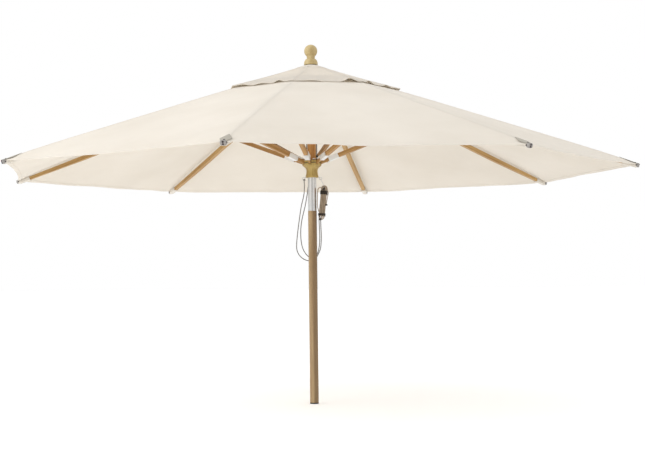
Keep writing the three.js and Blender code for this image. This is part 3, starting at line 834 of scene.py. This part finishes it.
def rounded_box(x, half_y, low, high, corner=0.35, count=20):
    """A ring of points round a section with rounded corners, at x."""
    middle, half_z = (low + high) / 2, (high - low) / 2
    ring = []
    for step in range(count):
        a = math.tau * (step + 0.5) / count
        c, s = math.cos(a), math.sin(a)
        ring.append((x, half_y * math.copysign(abs(c) ** corner, c),
                     middle + half_z * math.copysign(abs(s) ** corner, s)))
    return ring


def dome(radius, height, place, segments=20):
    arc = [(radius * math.cos(a), height * math.sin(a)) for a in np.linspace(0, math.pi / 2, 6)[:-1]]
    points, faces = turned([(0, -0.0004), (radius, -0.0004), *arc, (0, height)], segments)
    return placed(place, points), faces


PATCH = {"length": 0.108, "widest": 0.050, "half": 0.027, "tip": 0.010, "cloth": 0.0012, "pucker": 0.0003}
RIVET = {"radius": 0.0048, "height": 0.0024, "back": 0.022}
SIDE_RIVET = {"back": 0.6 * RIVET["back"], "out": 0.0022, "high": 0.009}
END_RIVET = {"out": 0.0012, "highs": (0.0045, 0.0145)}
CAP = {"low": 0.001, "high": 0.0175}  # over the rib's centre line, round the cloth's corner
PIN = {"radius": 0.0055, "height": 0.003, "out": 0.0097}
# (distance back from the corner, growth over the rib or the cap) of the rings that these are lofted through.
POCKET_RINGS = ((0.084, 0.0038), (0.082, 0.0046), (0.076, 0.0034), (0.054, 0.0028), (0.030, 0.0024),
                (0.014, 0.0026), (0.008, 0.0012))
CAP_RINGS = ((0.013, 0.0022), (0.0125, 0.0028), (0.003, 0.0026), (0.0, 0.0016), (-0.0015, -0.002))


def add_patch(n, place):
    """The kite-shaped patch on the ridge, in cloth greyed as painted shade."""
    backs = spans((PATCH["length"], PATCH["widest"], 14), (PATCH["widest"], 0.0, 10))
    narrow = (PATCH["length"] - backs) / (PATCH["length"] - PATCH["widest"])
    wide = PATCH["tip"] + (PATCH["half"] - PATCH["tip"]) * backs / PATCH["widest"]
    half = np.where(backs > PATCH["widest"], PATCH["half"] * narrow + 0.0015, wide)[:, None]
    across = half * np.linspace(-1, 1, 15)
    puckers = PATCH["pucker"] * np.sin(backs[:, None] * 300) * np.cos(across * 400)
    height = ridge_top(across) + cloth_rise(backs)[:, None] + PATCH["cloth"] + puckers
    grid = np.stack([RIB_END - backs[:, None] + 0 * across, across, height], -1)
    grid = placed(place, grid.reshape(-1, 3)).reshape(grid.shape)
    sheet = shell(grid, PATCH["cloth"], PATCH["cloth"])
    piece(f"corner_patch_{n}", *sheet, PATCH_SHADE_CLOTH, f"rib_{n}", "canvas", uv=cloth_uv(grid))


def add_pocket(n, place):
    """The pocket of cloth that the rib's end sits in."""
    rings = []
    for back, grow in POCKET_RINGS:
        wave = 0.0006 * math.sin(back * 700)
        rings.append(rounded_box(RIB_END - back, RIB["width"] / 2 + grow + wave, rib_low(back) - grow - wave,
                                 ridge_top(0.0) - 0.0016))
    points, faces = loft(rings)
    piece(f"corner_pocket_{n}", placed(place, points), faces, POCKET_CLOTH, f"rib_{n}", "canvas",
          uv=points[:, :2])


def add_cap(n, place):
    """The metal cap round the corner of the cloth."""
    rings = [rounded_box(RIB_END - back, RIB["width"] / 2 + grow, CAP["low"] - grow, CAP["high"] + grow, 0.45)
             for back, grow in CAP_RINGS]
    points, faces = loft(rings)
    piece(f"corner_cap_{n}", placed(place, points), faces, CAP_STEEL, f"rib_{n}", "steel")


def add_rivets(n, place):
    """One rivet through the patch, one on each side of the cap, and two on its outer end."""
    def rivet(spot, turn=Matrix()):
        return dome(RIVET["radius"], RIVET["height"], place @ Matrix.Translation(spot) @ turn)

    top = ridge_top(0.0) + cloth_rise(RIVET["back"]) + 0.0022
    rivets = [rivet((RIB_END - RIVET["back"], 0, top))]
    for side in (-1, 1):
        out = side * (RIB["width"] / 2 + SIDE_RIVET["out"])
        turn = Matrix.Rotation(-side * math.pi / 2, 4, "X")
        rivets.append(rivet((RIB_END - SIDE_RIVET["back"], out, SIDE_RIVET["high"]), turn))
    outward = Matrix.Rotation(math.pi / 2, 4, "Y")
    for height in END_RIVET["highs"]:
        rivets.append(rivet((RIB_END + END_RIVET["out"], 0, height), outward))
    piece(f"corner_rivets_{n}", *merged(*rivets), GUNMETAL, f"rib_{n}", "steel")


def add_pins(n, place):
    """The heads of the pin that holds a strut under its rib."""
    lug = place.inverted() @ (Matrix.Rotation((n - 1) * STEP, 4, "Z") @ LUG)
    heads = []
    for side in (-1, 1):
        turn = Matrix.Rotation(-side * math.pi / 2, 4, "X")
        spot = Matrix.Translation(lug + Vector((0, side * PIN["out"], 0)))
        heads.append(dome(PIN["radius"], PIN["height"], place @ spot @ turn))
    piece(f"strut_pin_heads_{n}", *merged(*heads), STEEL, f"rib_{n}", "steel")


for number in range(1, RIBS + 1):
    for add_part in (add_patch, add_pocket, add_cap, add_rivets, add_pins):
        add_part(number, rib_frame(number))


# ---- Finial ----
FINIAL = {"z": 1.870, "base": 0.0385, "foot": 0.003, "neck": 0.0215, "neck_z": 0.034, "ball": 0.0365,
          "ball_z": 0.077}


def add_finial():
    base, foot, neck, neck_z = FINIAL["base"], FINIAL["foot"], FINIAL["neck"], FINIAL["neck_z"]
    ball, ball_z = FINIAL["ball"], FINIAL["ball_z"]
    flare = [(neck + (base - neck) * math.cos(a), foot + (neck_z - foot) * math.sin(a))
             for a in np.linspace(0, math.pi / 2, 16)]
    low = math.acos(neck / ball)
    globe = [(ball * math.cos(a), ball_z + ball * math.sin(a))
             for a in np.linspace(-low, math.pi / 2, 34)[1:-1]]
    edge = [(0, 0), (base - 0.001, 0), (base, 0.001)]
    points, faces = turned([*edge, *flare, *globe, (0, ball_z + ball)], 72)
    points[:, 2] += FINIAL["z"]
    look = wood("finial_wood", *BLOND, rough=0.45)
    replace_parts(piece("turned_finial", points, faces, look, "finial", "wood", sharp=60), "finial")


add_finial()


HOOK_PAD = {"azimuth": math.radians(-57), "out": 0.033, "rise": 0.0132}
# The rise and the two half sides of each layer.
HOOK_PAD_LAYERS = ((0.0, 0.0040, 0.0105), (0.0022, 0.0046, 0.0112), (0.0034, 0.0036, 0.0100))


def add_hook_pad():
    """The black pad that the runner's hook stands on, put there as painted shade under the hook."""
    spot = Matrix.Translation((HOOK_PAD["out"], 0, RUNNER.z + HOOK_PAD["rise"]))
    rings = [[(x, y, z) for z, x, y in rounded_box(rise, half_x, -half_y, half_y)]
             for rise, half_x, half_y in HOOK_PAD_LAYERS]
    points, faces = loft(rings)
    place = Matrix.Rotation(HOOK_PAD["azimuth"], 4, "Z") @ spot
    piece("hook_shade_pad", placed(place, points), faces, RUBBER, "runner", "end_cap")


add_hook_pad()


# ---- CAD parts that stay ----
def dress(name, look, bevel=0.0, sharp=35):
    """A better material on a CAD part, smooth shading, and edges that are broken by bevel."""
    part = frame["nodes"][name]
    part.data.materials.clear()
    part.data.materials.append(look)
    part.data.polygons.foreach_set("use_smooth", [True] * len(part.data.polygons))
    part.data.set_sharp_from_angle(angle=math.radians(sharp))
    if bevel:
        edge = part.modifiers.new("broken_edges", "BEVEL")
        edge.width = bevel
        edge.segments = 3
        edge.limit_method = "ANGLE"
        edge.angle_limit = math.radians(sharp)
        edge.harden_normals = True


for number in range(1, RIBS + 1):
    dress(f"rib_{number}", wood(f"rib_wood_{number}", *HONEY, rib_frame(number)), 0.0018)
    dress(f"strut_{number}", wood(f"strut_wood_{number}", *STRUT_HONEY, strut_frame(number)), 0.0018)
    dress(f"strut_sleeve_{number}", SLEEVE_STEEL, 0.0005)
turned_wood = wood("turned_wood", *OLIVE)
# The lower pole's wood has painted shade down one side.
dress("pole_lower", wood("pole_wood", *TEAK, strip=POLE_SHADE_SIDE))
# The upper pole wears the darker orange wood: painted shade and painted warm bounce light.
dress("pole_upper", wood("upper_pole_wood", *AMBER_PAINTED_SHADE))
for part in ("top_hub", "runner"):
    dress(part, turned_wood)
dress("pole_ferrule", ALUMINIUM)
dress("pole_end_cap", RUBBER)
dress("runner_hook", ENAMEL)
for part in ("hub_pivot_ring", "runner_pivot_ring", "pulley_axle", "pulley_sheave", "rope_eye_right",
             "rope_eye_left", "hank_ring"):
    dress(part, STEEL)


# ---- Studio ----
LIT_SPOT = Vector((0, 0, 1.2))
FLOOR_REACH = 40


def add_light(name, place, size, power):
    """A round area light that faces the parasol."""
    data = bpy.data.lights.new(name, "AREA")
    data.shape = "DISK"
    data.size = size
    data.energy = power
    lamp = bpy.data.objects.new(name, data)
    facing = (LIT_SPOT - Vector(place)).to_track_quat("-Z", "Y")
    lamp.matrix_world = Matrix.Translation(place) @ facing.to_matrix().to_4x4()
    bpy.context.collection.objects.link(lamp)


def add_studio():
    world = bpy.data.worlds.new("studio")
    bpy.context.scene.world = world
    world.use_nodes = True
    backdrop = world.node_tree.nodes["Background"]
    backdrop.inputs["Color"].default_value = (1, 1, 1, 1)
    backdrop.inputs["Strength"].default_value = 1.0
    add_light("key", (-6.0, -4.0, 5.0), 5.0, 200)

    floor = bpy.data.meshes.new("floor")
    corners = [(x * FLOOR_REACH, y * FLOOR_REACH, 0) for x, y in ((-1, -1), (1, -1), (1, 1), (-1, 1))]
    floor.from_pydata(corners, [], [(0, 1, 2, 3)])
    floor.materials.append(Look("floor", Base_Color=colour(250, 250, 250), Roughness=0.9,
                                Emission_Color=(1, 1, 1, 1), Emission_Strength=0.18).material)
    ground = bpy.data.objects.new("floor", floor)
    bpy.context.collection.objects.link(ground)
    bpy.context.scene.view_settings.view_transform = "Standard"


add_studio()
